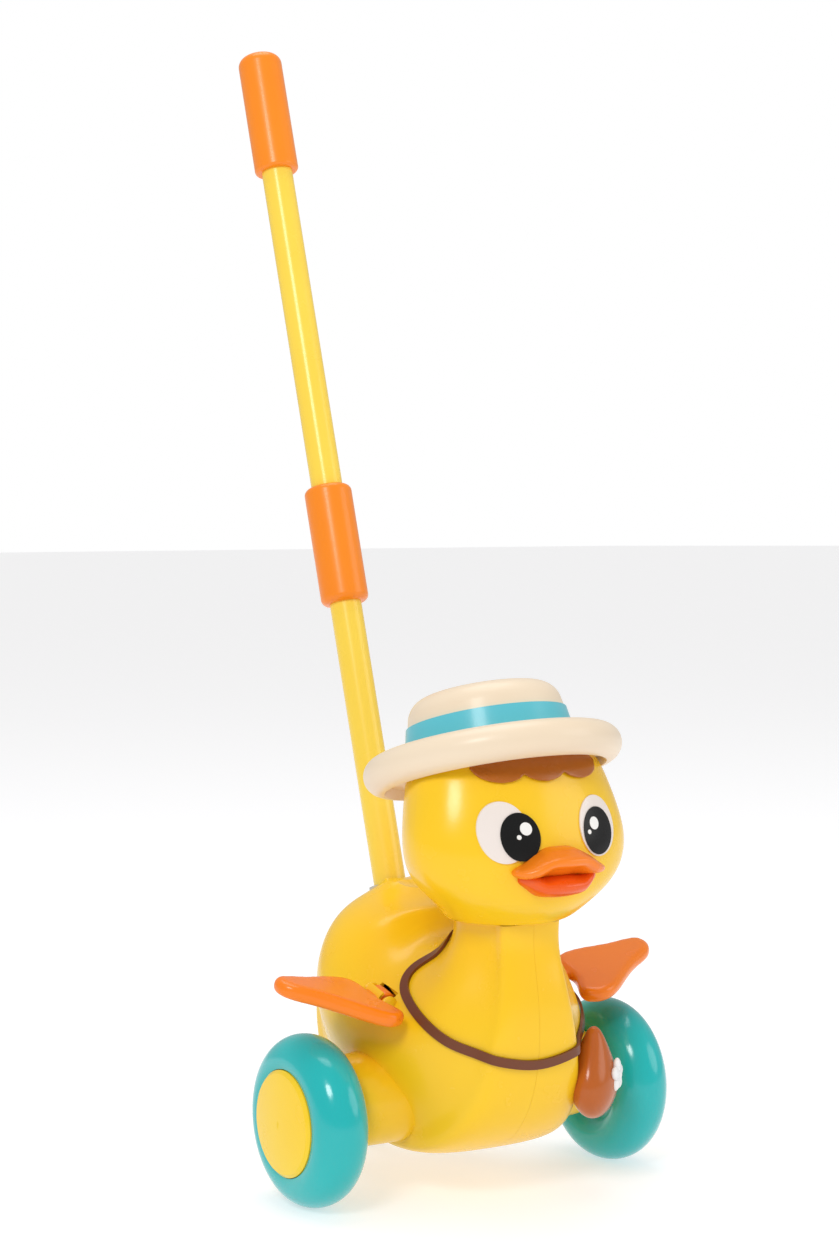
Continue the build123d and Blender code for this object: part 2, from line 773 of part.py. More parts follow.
# Hat, tipped back on the head: height along its own axis from the middle of the brim
hat_tilt = 16.5
hat_lead = 26.5
hat_z = 213.7
brim_radius = 64.2
brim_half_thickness = 9.0
brim_middle = 1.0
brim_inner_radius = 53.0
brim_top = 7.4
brim_step_radius = 52.5
brim_step = 1.0
hat_seat = -3.5
crown_foot_radius = 41.6
band_top_radius = 39.2
band_bottom = 8.0
band_top = 21.5
band_thickness = 0.9
crown_shoulder_radius = 38.2
crown_shoulder = 26.5
crown_top_radius = 24.0
crown_top = 35.5
crown_dome = 2.1
crown_wall = 2.4
spigot_wall = 2.4
spigot_height = 6.0
spigot_gap = 0.05
hat_plane = Plane(
    origin=(0, axle_y - hat_lead, hat_z),
    x_dir=(1, 0, 0),
    z_dir=(0, sin(radians(hat_tilt)), cos(radians(hat_tilt))),
)
crown_mouth_radius = band_top_radius - crown_wall
hat_profile = Plane(origin=hat_plane.origin, x_dir=(1, 0, 0), z_dir=-hat_plane.y_dir)
hat_axis = Axis(hat_plane.origin, hat_plane.z_dir)

with BuildPart() as hat:
    with BuildSketch(hat_profile):
        with BuildLine():
            seat = Line((0, hat_seat), (brim_inner_radius, hat_seat))
            roll_start = (brim_radius - brim_half_thickness, brim_middle - brim_half_thickness)
            roll_end = (brim_radius - brim_half_thickness, brim_middle + brim_half_thickness)
            curl = Line(seat @ 1, roll_start)
            roll = ThreePointArc(curl @ 1, (brim_radius, brim_middle), roll_end)
            slope = Line(roll @ 1, (brim_step_radius, brim_top + brim_step))
            step = Line(slope @ 1, (brim_step_radius - brim_step, brim_top))
            flat = Line(step @ 1, (crown_foot_radius, band_bottom))
            wall = Line(flat @ 1, (band_top_radius, band_top))
            taper = Line(wall @ 1, (crown_shoulder_radius, crown_shoulder))
            shoulder = TangentArc(taper @ 1, (crown_top_radius, crown_top), tangent=taper % 1)
            crown = TangentArc((0, crown_top + crown_dome), shoulder @ 1, tangent=(1, 0))
            Line(crown @ 0, (0, hat_seat))
        make_face()
        with BuildLine():
            mouth = Line((0, hat_seat), (crown_mouth_radius, hat_seat))
            collar = Line(mouth @ 1, (crown_mouth_radius, hat_seat + spigot_height + part_line))
            inside = Line(collar @ 1, (crown_shoulder_radius - 2 * crown_wall, crown_shoulder - crown_wall))
            under = Line(inside @ 1, (crown_top_radius - 2 * crown_wall, crown_top - crown_wall))
            lid = Line(under @ 1, (0, crown_top - crown_wall))
            Line(lid @ 1, mouth @ 0)
        make_face(mode=Mode.SUBTRACT)
    revolve(axis=hat_axis)
finish(hat, "hat")

with BuildPart() as hat_band:
    with BuildSketch(hat_profile):
        with BuildLine():
            Polyline(
                (crown_foot_radius, band_bottom),
                (crown_foot_radius + band_thickness, band_bottom),
                (band_top_radius + band_thickness, band_top),
                (band_top_radius, band_top),
                close=True,
            )
        make_face()
    revolve(axis=hat_axis)
finish(hat_band, "hat_band")

# Head shell: open at the neck, flat under the hat
seat_plane = hat_plane.offset(hat_seat)
with BuildPart() as head_core:
    add(head_inner)
    split(bisect_by=seat_plane.offset(-head_wall), keep=Keep.BOTTOM)

with BuildPart() as head_shell:
    add(head_outer)
    split(bisect_by=seat_plane, keep=Keep.BOTTOM)
    add(head_core.part, mode=Mode.SUBTRACT)
    with BuildSketch(Plane.XY.offset(head_bottom)):
        with Locations((0, neck_y)):
            Circle(base_radius)
    extrude(amount=base_thickness, mode=Mode.SUBTRACT)
    with BuildSketch(seat_plane):
        Circle(crown_mouth_radius - spigot_gap)
        Circle(crown_mouth_radius - spigot_gap - spigot_wall, mode=Mode.SUBTRACT)
    extrude(amount=spigot_height)
finish(head_shell, "head_shell")

# Eyes: white, pupil and two glints, thin pieces that follow the face
eye_x = 27.0
eye_z = 186.0
eye_half_width = 12.3
eye_half_height = 14.4
eye_thickness = 0.8
pupil_x = 23.0
pupil_z = 183.8
pupil_half_width = 9.9
pupil_half_height = 11.3
pupil_thickness = 0.5
gaze_shift = 3.5
glint_x = 20.3
glint_z = 187.6
glint_radius = 3.0
small_glint_shift = 4.0
small_glint_drop = 3.8
small_glint_radius = 1.1
glint_thickness = 0.3
face_reach = 60.0
face_plane = axle_plane.offset(face_reach)

white_skin = head_form(eye_thickness)
pupil_skin = head_form(eye_thickness + pupil_thickness)
glint_skin = head_form(eye_thickness + pupil_thickness + glint_thickness)

with BuildPart() as eye_white_left:
    with BuildSketch(face_plane):
        with Locations((eye_x, eye_z)):
            Ellipse(eye_half_width, eye_half_height)
    extrude(amount=face_reach)
    add(white_skin, mode=Mode.INTERSECT)
    add(head_outer, mode=Mode.SUBTRACT)
eye_white_right = mirrored(eye_white_left)


def make_pupil(side, white):
    """Pupil of one eye, over its white and past the white's inner edge."""
    with BuildPart() as pupil:
        with BuildSketch(face_plane):
            with Locations((side * pupil_x + gaze_shift, pupil_z)):
                Ellipse(pupil_half_width, pupil_half_height)
        extrude(amount=face_reach)
        add(pupil_skin, mode=Mode.INTERSECT)
        add(head_outer, mode=Mode.SUBTRACT)
        add(white.part, mode=Mode.SUBTRACT)
    return pupil


def make_glints(side):
    """Large and small glint on one pupil."""
    with BuildPart() as glints:
        with BuildSketch(face_plane):
            with Locations((side * glint_x + gaze_shift, glint_z)):
                Circle(glint_radius)
            with Locations((side * glint_x + gaze_shift - small_glint_shift, glint_z - small_glint_drop)):
                Circle(small_glint_radius)
        extrude(amount=face_reach)
        add(glint_skin, mode=Mode.INTERSECT)
        add(pupil_skin, mode=Mode.SUBTRACT)
    return glints


pupil_left = make_pupil(1, eye_white_left)
pupil_right = make_pupil(-1, eye_white_right)
glints_left = make_glints(1)
glints_right = make_glints(-1)
for piece, name in (
    (eye_white_left, "eye_white_left"),
    (eye_white_right, "eye_white_right"),
    (pupil_left, "pupil_left"),
    (pupil_right, "pupil_right"),
    (glints_left, "glints_left"),
    (glints_right, "glints_right"),
):
    finish(piece, name)

# Fringe under the front of the brim
fringe_thickness = 1.8
fringe_half_width = 36.0
fringe_scallop_z = 215.0
fringe_scallop_radius = 12.5
fringe_scallop_drop = 2.0
fringe_top_z = 240.0
fringe_skin = head_form(fringe_thickness)
with BuildPart() as fringe:
    with BuildSketch(face_plane):
        with Locations((0, fringe_scallop_z)):
            Rectangle(2 * fringe_half_width, fringe_top_z - fringe_scallop_z,
                      align=(Align.CENTER, Align.MIN))
        with Locations((0, fringe_scallop_z)):
            with GridLocations(2 * fringe_scallop_radius - fringe_scallop_drop, 0, 3, 1):
                Ellipse(fringe_scallop_radius, fringe_scallop_radius / 2)
    extrude(amount=face_reach)
    add(fringe_skin, mode=Mode.INTERSECT)
    add(head_outer, mode=Mode.SUBTRACT)
    split(bisect_by=seat_plane, keep=Keep.BOTTOM)
finish(fringe, "fringe")

# Beak: two rounded halves on the face
beak_lead = 84.0
upper_z = 169.2
upper_half_width = 25.5
upper_reach = 12.5
upper_half_height = 6.0
ridge_z = 172.0
ridge_half_width = 13.0
ridge_reach = 9.0
ridge_half_height = 6.0
lower_z = 161.0
lower_half_width = 20.0
lower_reach = 6.5
lower_half_height = 7.0
mouth_z = 164.6


def egg(half_width, reach, half_height, height):
    """Rounded lump on the face's middle line."""
    with BuildPart() as lump:
        Sphere(1)
        scale(by=(half_width, reach, half_height))
    return Pos(0, axle_y - beak_lead, height) * lump.part


upper_lump = egg(upper_half_width, upper_reach, upper_half_height, upper_z)
ridge_lump = egg(ridge_half_width, ridge_reach, ridge_half_height, ridge_z)
lower_lump = egg(lower_half_width, lower_reach, lower_half_height, lower_z)

with BuildPart() as beak_upper:
    add(upper_lump)
    add(ridge_lump)
    split(bisect_by=Plane.XY.offset(mouth_z), keep=Keep.TOP)
    add(head_outer, mode=Mode.SUBTRACT)
    for piece in (eye_white_left, eye_white_right, pupil_left, pupil_right):
        add(piece.part, mode=Mode.SUBTRACT)
finish(beak_upper, "beak_upper")

with BuildPart() as beak_lower:
    add(lower_lump)
    split(bisect_by=Plane.XY.offset(mouth_z), keep=Keep.BOTTOM)
    add(head_outer, mode=Mode.SUBTRACT)
finish(beak_lower, "beak_lower")

# Satchel: strap round the breast and neck, bag and its button
strap_width = 4.6
strap_thickness = 1.4
strap_gap = 0.3
strap_stations = 30
# Strap line on the left half, from the breast to the back of the neck:
# share of the body's half width, of the neck's lead, and of the neck's height
strap_shares = (
    (0.0, 1.76, 0.515), (0.19, 1.73, 0.525), (0.32, 1.66, 0.54), (0.53, 1.50, 0.57), (0.645, 1.26, 0.60),
    (0.71, 0.95, 0.65), (0.68, 0.53, 0.70), (0.66, 0.29, 0.76), (0.61, 0.24, 0.815), (0.53, 0.31, 0.87),
    (0.42, 0.40, 0.91), (0.23, 0.28, 0.94), (0.0, 0.20, 0.95),
)
bag_x = 42.0
bag_lead = 47.5
bag_z = 60.0
bag_turn = 42.0
bag_bottom_radius = 18.5
bag_top_radius = 9.0
bag_half_height = 23.0
bag_thickness = 13.5
bag_depth_inside = 9.0
bag_edge = 7.0
button_petal_radius = 3.2
button_petal_ring = 4.4
button_petals = 5
button_core_radius = 2.6
button_thickness = 1.2

body_skin = body_seat.faces().sort_by(SortBy.AREA)[-1]


def on_skin(point):
    """Nearest point of the body's left side."""
    return body_skin.distance_to_with_closest_points(Vertex(*point))[1]


strap_marks = [
    on_skin(Vector(out * body_half_width, axle_y - lead * neck_lead, level * neck_top))
    for out, lead, level in strap_shares
]
strap_route = Edge.make_spline(strap_marks, tangents=[Vector(1, 0, 0), Vector(-1, 0, 0)])

with BuildPart() as strap:
    for station in range(strap_stations + 1):
        along = strap_route.tangent_at(station / strap_stations)
        point = on_skin(strap_route.position_at(station / strap_stations))
        outward = body_skin.normal_at(point)
        with BuildSketch(Plane(origin=point, x_dir=outward.cross(along), z_dir=along)):
            with Locations((0, strap_gap)):
                Rectangle(strap_width, strap_thickness, align=(Align.CENTER, Align.MIN))
    loft()
    split(bisect_by=Plane.YZ, keep=Keep.TOP)
    add(body_seat, mode=Mode.SUBTRACT)
    mirror(about=Plane.YZ)
finish(strap, "strap")

bag_plane = Plane(
    origin=(bag_x, axle_y - bag_lead, bag_z),
    x_dir=(cos(radians(bag_turn)), sin(radians(bag_turn)), 0),
    z_dir=(sin(radians(bag_turn)), -cos(radians(bag_turn)), 0),
)
with BuildPart() as bag:
    with BuildSketch(bag_plane.offset(-bag_depth_inside)):
        with Locations((0, bag_bottom_radius - bag_half_height)):
            Circle(bag_bottom_radius)
        with Locations((0, bag_half_height - bag_top_radius)):
            Circle(bag_top_radius)
        make_hull()
    extrude(amount=bag_depth_inside + bag_thickness)
    bag_face = bag.faces().sort_by(Axis(bag_plane.origin, bag_plane.z_dir))[-1]
    fillet(bag_face.edges(), bag_edge)
    add(body_outer, mode=Mode.SUBTRACT)
    add(strap.part, mode=Mode.SUBTRACT)
finish(bag, "bag")

with BuildPart() as bag_button:
    with BuildSketch(bag_plane.offset(bag_thickness)):
        Circle(button_core_radius)
        with PolarLocations(button_petal_ring, button_petals):
            Circle(button_petal_radius)
    extrude(amount=button_thickness)
finish(bag_button, "bag_button")
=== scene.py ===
import json
import math

import bpy
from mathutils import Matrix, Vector

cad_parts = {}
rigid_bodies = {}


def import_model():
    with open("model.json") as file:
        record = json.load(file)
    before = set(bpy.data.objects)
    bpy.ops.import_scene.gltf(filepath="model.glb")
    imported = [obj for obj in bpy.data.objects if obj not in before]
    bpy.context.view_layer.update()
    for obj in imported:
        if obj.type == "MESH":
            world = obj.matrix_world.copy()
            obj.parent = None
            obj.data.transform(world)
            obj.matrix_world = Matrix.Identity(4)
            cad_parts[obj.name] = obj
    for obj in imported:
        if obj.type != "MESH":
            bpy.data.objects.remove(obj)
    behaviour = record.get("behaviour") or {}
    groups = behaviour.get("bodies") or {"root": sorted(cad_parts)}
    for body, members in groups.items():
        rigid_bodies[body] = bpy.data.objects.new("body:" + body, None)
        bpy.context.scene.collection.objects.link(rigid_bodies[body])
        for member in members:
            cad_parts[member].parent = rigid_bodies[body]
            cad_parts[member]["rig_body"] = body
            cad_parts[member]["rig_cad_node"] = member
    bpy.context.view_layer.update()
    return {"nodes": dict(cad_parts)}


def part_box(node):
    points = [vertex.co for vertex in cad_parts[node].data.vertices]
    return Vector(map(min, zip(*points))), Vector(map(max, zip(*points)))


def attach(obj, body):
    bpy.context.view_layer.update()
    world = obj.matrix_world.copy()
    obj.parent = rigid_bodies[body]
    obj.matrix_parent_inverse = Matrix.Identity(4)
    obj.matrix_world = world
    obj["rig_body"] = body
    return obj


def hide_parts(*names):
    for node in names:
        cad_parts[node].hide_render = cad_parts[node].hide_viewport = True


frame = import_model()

nodes = frame["nodes"]
mm = 0.001

# The axle's place, which the camera and the new pieces are set from
axle_y = (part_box("axle_bush_left")[0].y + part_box("axle_bush_left")[1].y) / 2


def in_mm(*values):
    """Sizes or a place given in millimetres, in the scene's metres."""
    return tuple(value * mm for value in values)


# Surface that all the plastics share

cloud_scale = 14.0
cloud_detail = 3.0
cloud_from = 0.35
cloud_to = 0.7
handled_scale = 55.0
handled_detail = 5.0
handled_spread = 0.12
peel_size = 700.0
peel_detail = 2.0
peel_depth = 0.4 * mm
coat_roughness = 0.14
plastic_ior = 1.48


def socket(group, name, way, kind):
    """Named socket on a node group."""
    group.interface.new_socket(name=name, in_out=way, socket_type=kind)


def moulded_skin():
    """Shared surface of a moulded plastic: uneven tone, uneven gloss, fine orange peel."""
    group = bpy.data.node_groups.new("moulded_skin", "ShaderNodeTree")
    for name in ("Colour", "Deep colour"):
        socket(group, name, "INPUT", "NodeSocketColor")
    for name in ("Tone", "Gloss", "Peel size", "Peel"):
        socket(group, name, "INPUT", "NodeSocketFloat")
    socket(group, "Colour", "OUTPUT", "NodeSocketColor")
    socket(group, "Roughness", "OUTPUT", "NodeSocketFloat")
    socket(group, "Normal", "OUTPUT", "NodeSocketVector")
    made, link = group.nodes.new, group.links.new
    given = made("NodeGroupInput")
    result = made("NodeGroupOutput")
    place = made("ShaderNodeTexCoord")

    clouds = made("ShaderNodeTexNoise")
    clouds.inputs["Scale"].default_value = cloud_scale
    clouds.inputs["Detail"].default_value = cloud_detail
    link(place.outputs["Object"], clouds.inputs["Vector"])
    spread = made("ShaderNodeMapRange")
    spread.inputs["From Min"].default_value = cloud_from
    spread.inputs["From Max"].default_value = cloud_to
    link(clouds.outputs["Fac"], spread.inputs["Value"])
    amount = made("ShaderNodeMath")
    amount.operation = "MULTIPLY"
    link(spread.outputs["Result"], amount.inputs[0])
    link(given.outputs["Tone"], amount.inputs[1])
    tint = made("ShaderNodeMix")
    tint.data_type = "RGBA"
    link(amount.outputs["Value"], tint.inputs["Factor"])
    link(given.outputs["Colour"], tint.inputs["A"])
    link(given.outputs["Deep colour"], tint.inputs["B"])
    link(tint.outputs["Result"], result.inputs["Colour"])

    handled = made("ShaderNodeTexNoise")
    handled.inputs["Scale"].default_value = handled_scale
    handled.inputs["Detail"].default_value = handled_detail
    link(place.outputs["Object"], handled.inputs["Vector"])
    gloss = made("ShaderNodeMath")
    gloss.operation = "MULTIPLY_ADD"
    gloss.inputs[1].default_value = handled_spread
    link(handled.outputs["Fac"], gloss.inputs[0])
    link(given.outputs["Gloss"], gloss.inputs[2])
    link(gloss.outputs["Value"], result.inputs["Roughness"])

    peel = made("ShaderNodeTexNoise")
    peel.inputs["Detail"].default_value = peel_detail
    link(place.outputs["Object"], peel.inputs["Vector"])
    link(given.outputs["Peel size"], peel.inputs["Scale"])
    bump = made("ShaderNodeBump")
    bump.inputs["Distance"].default_value = peel_depth
    link(peel.outputs["Fac"], bump.inputs["Height"])
    link(given.outputs["Peel"], bump.inputs["Strength"])
    link(bump.outputs["Normal"], result.inputs["Normal"])
    return group


skin_group = moulded_skin()


def plastic(name, colour, deep, tone=0.35, gloss=0.2, peel=0.06, coat=0.14, shine=0.36):
    """Moulded plastic of one colour."""
    material = bpy.data.materials.new(name)
    material.use_nodes = True
    tree = material.node_tree
    shader = tree.nodes["Principled BSDF"]
    skin = tree.nodes.new("ShaderNodeGroup")
    skin.node_tree = skin_group
    skin.inputs["Colour"].default_value = (*colour, 1)
    skin.inputs["Deep colour"].default_value = (*deep, 1)
    skin.inputs["Tone"].default_value = tone
    skin.inputs["Gloss"].default_value = gloss
    skin.inputs["Peel size"].default_value = peel_size
    skin.inputs["Peel"].default_value = peel
    tree.links.new(skin.outputs["Colour"], shader.inputs["Base Color"])
    tree.links.new(skin.outputs["Roughness"], shader.inputs["Roughness"])
    tree.links.new(skin.outputs["Normal"], shader.inputs["Normal"])
    shader.inputs["Coat Weight"].default_value = coat
    shader.inputs["Coat Roughness"].default_value = coat_roughness
    shader.inputs["IOR"].default_value = plastic_ior
    shader.inputs["Specular IOR Level"].default_value = shine
    return material


def brushed_metal(name, colour, deep, gloss):
    """Turned steel of the pins and screws."""
    material = plastic(name, colour, deep, tone=0.5, gloss=gloss, peel=0.1, coat=0.0)
    material.node_tree.nodes["Principled BSDF"].inputs["Metallic"].default_value = 1.0
    return material


# Materials: each has its colour and the deeper tone that it clouds into

body_yellow = plastic("body_yellow", (0.93, 0.58, 0.012), (0.89, 0.48, 0.007))
tube_yellow = plastic("tube_yellow", (0.93, 0.66, 0.075), (0.89, 0.57, 0.045))
cap_yellow = plastic("cap_yellow", (0.94, 0.64, 0.020), (0.90, 0.54, 0.012))
wing_orange = plastic("wing_orange", (0.92, 0.225, 0.006), (0.87, 0.15, 0.004))
bill_orange = plastic("bill_orange", (0.91, 0.225, 0.008), (0.86, 0.14, 0.004))
# The lower bill's orange is the bill's orange made darker and redder, with the shade under the upper bill
# painted into it
bill_orange_painted_shade = plastic("bill_orange_painted_shade", (0.84, 0.105, 0.004), (0.77, 0.065, 0.003))
grip_orange = plastic("grip_orange", (0.91, 0.25, 0.008), (0.87, 0.19, 0.006), gloss=0.25, peel=0.12)
tyre_turquoise = plastic("tyre_turquoise", (0.008, 0.47, 0.475), (0.005, 0.37, 0.38), gloss=0.12, coat=0.4)
hat_cream = plastic("hat_cream", (0.83, 0.69, 0.52), (0.80, 0.62, 0.43), gloss=0.3, coat=0.1)
band_blue = plastic("band_blue", (0.11, 0.53, 0.63), (0.08, 0.45, 0.57), gloss=0.25)
fringe_brown = plastic("fringe_brown", (0.44, 0.125, 0.010), (0.34, 0.08, 0.006))
strap_brown = plastic("strap_brown", (0.16, 0.04, 0.010), (0.12, 0.028, 0.007), gloss=0.25)
bag_brown = plastic("bag_brown", (0.48, 0.115, 0.014), (0.38, 0.08, 0.009), gloss=0.16)
flower_white = plastic("flower_white", (0.86, 0.85, 0.84), (0.78, 0.78, 0.79))
eye_white = plastic("eye_white", (0.83, 0.75, 0.70), (0.79, 0.69, 0.63), tone=0.2, peel=0.0)
pupil_black = plastic(
    "pupil_black", (0.008, 0.008, 0.008), (0.014, 0.014, 0.016), tone=0.4, peel=0.0, coat=0.0, shine=0.2
)
glint_white = plastic("glint_white", (0.88, 0.87, 0.84), (0.82, 0.82, 0.80), tone=0.2, peel=0.0)
inner_grey = plastic("inner_grey", (0.52, 0.52, 0.49), (0.44, 0.44, 0.42), gloss=0.4, coat=0.0)
roller_turquoise = plastic("roller_turquoise", (0.008, 0.43, 0.44), (0.005, 0.34, 0.35), gloss=0.25)
steel = brushed_metal("pin_steel", (0.62, 0.62, 0.64), (0.434, 0.434, 0.448), 0.3)

finishes = {
    body_yellow: ("body_shell_left", "body_shell_right", "axle_housing_left", "axle_housing_right",
                  "head_shell", "rear_bracket"),
    cap_yellow: ("wheel_cap_left", "wheel_cap_right"),
    tube_yellow: ("lower_tube", "upper_tube"),
    grip_orange: ("tube_coupler", "hand_grip"),
    wing_orange: ("wing_left", "wing_right"),
    bill_orange: ("beak_upper",),
    bill_orange_painted_shade: ("beak_lower",),
    tyre_turquoise: ("wheel_tyre_left", "wheel_tyre_right"),
    roller_turquoise: ("rear_roller",),
    hat_cream: ("hat",),
    band_blue: ("hat_band",),
    fringe_brown: ("fringe",),
    strap_brown: ("strap",),
    bag_brown: ("bag",),
    flower_white: ("bag_button",),
    eye_white: ("eye_white_left", "eye_white_right"),
    pupil_black: ("pupil_left", "pupil_right"),
    glint_white: ("glints_left", "glints_right"),
    inner_grey: ("wheel_carrier_left", "wheel_carrier_right", "axle_bush_left", "axle_bush_right",
                 "lifter", "guide_bridge", "handle_socket", "head_base", "neck_post", "neck_washer"),
    steel: ("crank_axle", "wing_pin_left", "wing_pin_right", "guide_screws", "body_screws",
            "handle_pin", "neck_screw", "rear_pin"),
}


def paint(piece, material):
    """One material over the whole piece."""
    piece.data.materials.clear()
    piece.data.materials.append(material)


for material, names in finishes.items():
    for name in names:
        paint(nodes[name], material)


# Tools for the new pieces

merge_distance = 0.01 * mm
smooth_factor = 0.5
ball_segments = 64
small_ball_segments = 32


def nothing_selected():
    """Leaves edit mode and deselects every object."""
    if bpy.context.mode != "OBJECT":
        bpy.ops.object.mode_set(mode="OBJECT")
    bpy.ops.object.select_all(action="DESELECT")


def only_selected(piece):
    """Makes the piece the one selected and active object."""
    nothing_selected()
    piece.select_set(True)
    bpy.context.view_layer.objects.active = piece


def pick(piece, wanted):
    """Selects the piece's vertices for which wanted(place) holds, and stays in edit mode."""
    bpy.ops.object.mode_set(mode="EDIT")
    bpy.ops.mesh.select_mode(type="VERT")
    bpy.ops.mesh.select_all(action="DESELECT")
    bpy.ops.object.mode_set(mode="OBJECT")
    for vertex in piece.data.vertices:
        vertex.select = wanted(vertex.co)
    bpy.ops.object.mode_set(mode="EDIT")


def nudge(piece, wanted, move, reach):
    """Moves picked vertices, with a smooth falloff over reach."""
    pick(piece, wanted)
    bpy.ops.transform.translate(
        value=move, orient_type="GLOBAL", use_proportional_edit=True,
        proportional_edit_falloff="SMOOTH", proportional_size=reach,
    )
    bpy.ops.object.mode_set(mode="OBJECT")


def settle(piece, name, material, body, slot_name, *stands_for):
    """Finishes a piece: its place goes into its mesh, and it gets its finish and its body."""
    only_selected(piece)
    bpy.ops.object.transform_apply(location=True, rotation=True, scale=True)
    bpy.ops.object.shade_smooth()
    piece.name = name
    paint(piece, material)
    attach(piece, body)
    if stands_for:
        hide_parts(*stands_for)


def merged_copy(node):
    """Copy of a node's mesh with its doubles merged, alone and selected."""
    piece = nodes[node].copy()
    piece.data = nodes[node].data.copy()
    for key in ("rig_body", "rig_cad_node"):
        if key in piece:
            del piece[key]
    piece.parent = None
    bpy.context.scene.collection.objects.link(piece)
    only_selected(piece)
    bpy.ops.object.mode_set(mode="EDIT")
    bpy.ops.mesh.select_all(action="SELECT")
    bpy.ops.mesh.remove_doubles(threshold=merge_distance)
    bpy.ops.object.mode_set(mode="OBJECT")
    return piece


def softened(node, name, voxel, rounds, material, body, slot_name):
    """A node's own shape with its moulded corners rounded off."""
    piece = merged_copy(node)
    remesh = piece.modifiers.new("even skin", "REMESH")
    remesh.mode = "VOXEL"
    remesh.voxel_size = voxel
    smooth = piece.modifiers.new("rounding", "SMOOTH")
    smooth.factor = smooth_factor
    smooth.iterations = rounds
    for modifier in list(piece.modifiers):
        bpy.ops.object.modifier_apply(modifier=modifier.name)
    settle(piece, name, material, body, slot_name, node)


def ball(centre, half_sizes, segments=ball_segments):
    """Round start for a moulded lump."""
    nothing_selected()
    bpy.ops.mesh.primitive_uv_sphere_add(segments=segments, ring_count=segments // 2, radius=1)
    piece = bpy.context.object
    piece.scale = half_sizes
    piece.location = centre
    bpy.ops.object.transform_apply(location=True, rotation=True, scale=True)
    return piece


# Wings and fringe: the nodes' own shapes, softened

wing_voxel = 0.9 * mm
wing_rounds = 22
fringe_voxel = 0.45 * mm
fringe_rounds = 8

for side in ("left", "right"):
    wing = "wing_" + side
    softened(wing, "wing_moulding_" + side, wing_voxel, wing_rounds, wing_orange, wing, "orange_plastic")
softened("fringe", "fringe_moulding", fringe_voxel, fringe_rounds, fringe_brown, "head", "fringe_plastic")


# Upper bill: broad, with a raised bridge, low corners and a lifted middle of its lower edge

upper_bill_y = axle_y - 82.6 * mm
upper_bill_z = 169.0 * mm
upper_bill_half = in_mm(25.4, 13.6, 5.4)
bridge_half_width = 5 * mm
bridge_start = 4.6 * mm
bridge_move = in_mm(0, 2.0, 4.2)
bridge_reach = 15 * mm
upper_corner_start = 23.0 * mm
upper_corner_move = in_mm(0, 0, -1.8)
upper_corner_reach = 10 * mm
lip_half_width = 9 * mm
lip_start = 8 * mm
lip_move = in_mm(0, 0, 2.4)
lip_reach = 9 * mm


def on_bridge(place):
    """Whether a place is on top of the upper bill, near the middle."""
    return abs(place.x) < bridge_half_width and place.z > upper_bill_z + bridge_start


def on_lip(place):
    """Whether a place is on the front of the upper bill's lower edge, near the middle."""
    in_middle = abs(place.x) < lip_half_width
    return in_middle and place.y < upper_bill_y - lip_start and place.z < upper_bill_z


upper_bill = ball((0, upper_bill_y, upper_bill_z), upper_bill_half)
nudge(upper_bill, on_bridge, bridge_move, bridge_reach)
nudge(upper_bill, lambda place: abs(place.x) > upper_corner_start, upper_corner_move, upper_corner_reach)
nudge(upper_bill, on_lip, lip_move, lip_reach)
settle(upper_bill, "upper_bill", bill_orange, "head", "orange_plastic", "beak_upper")


# Lower bill: smaller, hollowed along the middle, with raised corners

lower_bill_y = axle_y - 80.6 * mm
lower_bill_z = 161.2 * mm
lower_bill_half = in_mm(21.5, 11.5, 7.0)
hollow_half_width = 9 * mm
hollow_start = 4.5 * mm
hollow_move = in_mm(0, 0, -2.6)
hollow_reach = 12 * mm
lower_corner_start = 18.5 * mm
lower_corner_move = in_mm(0, 0, 2.6)
lower_corner_reach = 9 * mm


def on_hollow(place):
    """Whether a place is on top of the lower bill, near the middle."""
    return abs(place.x) < hollow_half_width and place.z > lower_bill_z + hollow_start


lower_bill = ball((0, lower_bill_y, lower_bill_z), lower_bill_half)
nudge(lower_bill, on_hollow, hollow_move, hollow_reach)
nudge(lower_bill, lambda place: abs(place.x) > lower_corner_start, lower_corner_move, lower_corner_reach)
# The lower bill's finish has the shade under the upper bill painted into its colour
settle(lower_bill, "lower_bill", bill_orange_painted_shade, "head", "orange_plastic", "beak_lower")


# Satchel: a puffed drop that narrows towards the strap, turned to face along the breast

bag_turn = math.radians(42)
bag_across = Vector((math.cos(bag_turn), math.sin(bag_turn), 0))
bag_out = Vector((math.sin(bag_turn), -math.cos(bag_turn), 0))
bag_middle = Vector((42.0 * mm, axle_y - 47.5 * mm, 60.0 * mm))
satchel_half = in_mm(20.5, 12.5, 22.8)
satchel_across = -2.5
satchel_out = 4.2
satchel_top_start = 20.0 * mm
satchel_top_shares = (0.42, 0.62, 1)
satchel_top_reach = 34 * mm


def on_bag(across, out, up):
    """Point given in mm from the middle of the bag, in its own directions."""
    return bag_middle + bag_across * across * mm + bag_out * out * mm + Vector((0, 0, up * mm))


satchel = ball((0, 0, 0), satchel_half)
pick(satchel, lambda place: place.z > satchel_top_start)
bpy.ops.transform.resize(
    value=satchel_top_shares, use_proportional_edit=True,
    proportional_edit_falloff="SMOOTH", proportional_size=satchel_top_reach,
)
bpy.ops.object.mode_set(mode="OBJECT")
satchel.rotation_euler = (0, 0, bag_turn)
satchel.location = on_bag(satchel_across, satchel_out, 0)
settle(satchel, "satchel", bag_brown, "base", "bag_plastic", "bag")


# Flower button: five puffed petals round a core

petal_count = 5
petal_half = in_mm(3.3, 1.9, 3.9)
petal_radius = 4.5 * mm
first_petal = 90
core_half = in_mm(2.6, 1.5, 2.6)
core_place = in_mm(0, -1.0, 0)
flower_across = -1.0
flower_out = 15.6
flower_up = -1.0

